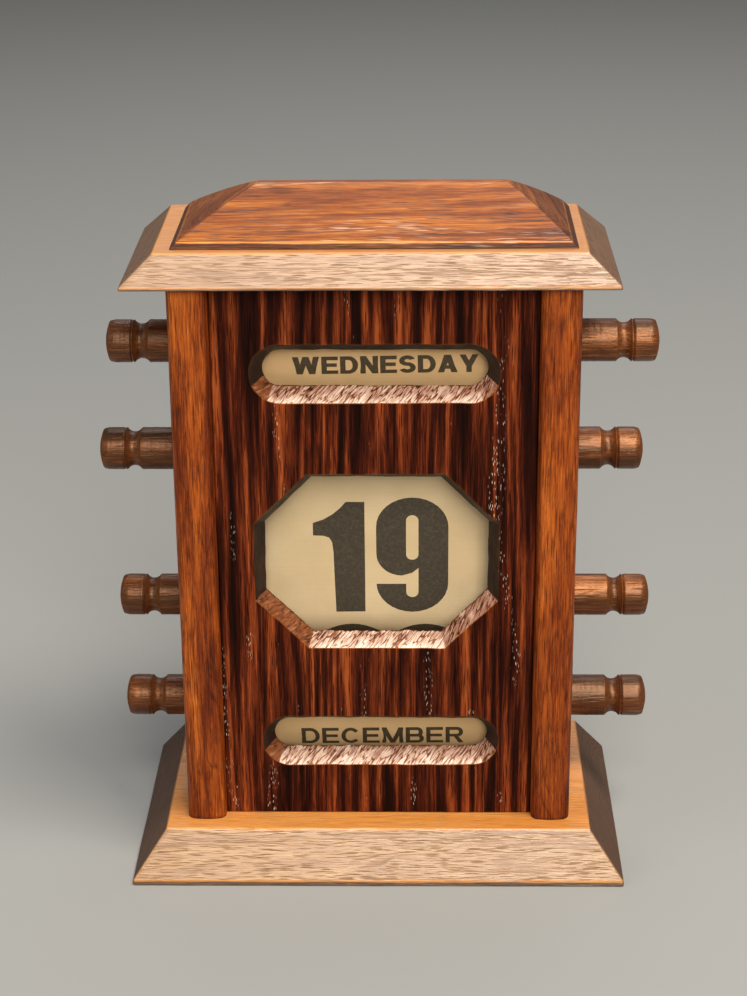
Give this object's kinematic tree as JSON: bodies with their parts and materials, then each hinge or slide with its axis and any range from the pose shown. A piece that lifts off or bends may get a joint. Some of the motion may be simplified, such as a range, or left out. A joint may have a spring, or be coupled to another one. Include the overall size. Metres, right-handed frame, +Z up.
{
  "type": "perpetual desk calendar",
  "caption": "Wooden desk calendar: a small case with day, date and month windows and turned rollers through its sides that change what they show.",
  "frame": {"origin": "middle of the underside of the base plinth", "axes": "+X along the rollers to the right of someone facing the windows, -Y towards the front with the windows, +Z up"},
  "size_m": [0.1438, 0.0734, 0.1781],
  "materials": {
    "stained_oak": "stained and waxed, satin, open grain",
    "dark_oak": "dark stained, satin, strong straight grain",
    "turned_oak": "turned, dark stained and waxed",
    "pale_wood": "bare turned wood",
    "printed_paper": "aged cream paper, matte",
    "scroll_cloth": "sized linen, cream, matte",
    "steel": "bright steel screws and pins",
    "brass": "dull brass screw heads"
  },
  "bodies": {
    "case": {"base_plinth": "stained_oak", "left_side": "stained_oak", "right_side": "stained_oak", "front_panel": "dark_oak", "back_panel": "stained_oak", "cornice_slab": "stained_oak", "roof_cap": "stained_oak", "base_screws": "steel", "cornice_screws": "steel", "back_screws": "brass", "date_web": "scroll_cloth"},
    "day_spindle": {"day_roller": "turned_oak", "day_drum": "pale_wood", "day_band": "printed_paper", "day_drum_pins": "steel"},
    "date_upper_spindle": {"date_upper_roller": "turned_oak", "date_upper_core": "pale_wood", "date_upper_roll": "scroll_cloth", "date_upper_pins": "steel"},
    "date_lower_spindle": {"date_lower_roller": "turned_oak", "date_lower_core": "pale_wood", "date_lower_roll": "scroll_cloth", "date_lower_pins": "steel"},
    "month_spindle": {"month_roller": "turned_oak", "month_drum": "pale_wood", "month_band": "printed_paper", "month_drum_pins": "steel"}
  },
  "joints": [
    {"name": "day_turn", "type": "hinge", "parent": "case", "child": "day_spindle", "pos_m": [0, 0.0035, 0.136], "axis": [1, 0, 0], "continuous": true},
    {"name": "date_upper_turn", "type": "hinge", "parent": "case", "child": "date_upper_spindle", "pos_m": [0, 0.0035, 0.10681], "axis": [1, 0, 0], "range_deg": [-2179, 3794]},
    {"name": "date_lower_turn", "type": "hinge", "parent": "case", "child": "date_lower_spindle", "pos_m": [0, 0.0035, 0.06519], "axis": [1, 0, 0], "range_deg": [-2179, 3794]},
    {"name": "month_turn", "type": "hinge", "parent": "case", "child": "month_spindle", "pos_m": [0, 0.0035, 0.0353], "axis": [1, 0, 0], "continuous": true}
  ],
  "couplings": [
    {"joint": "date_lower_turn", "follows": "date_upper_turn", "ratio": 1}
  ]
}
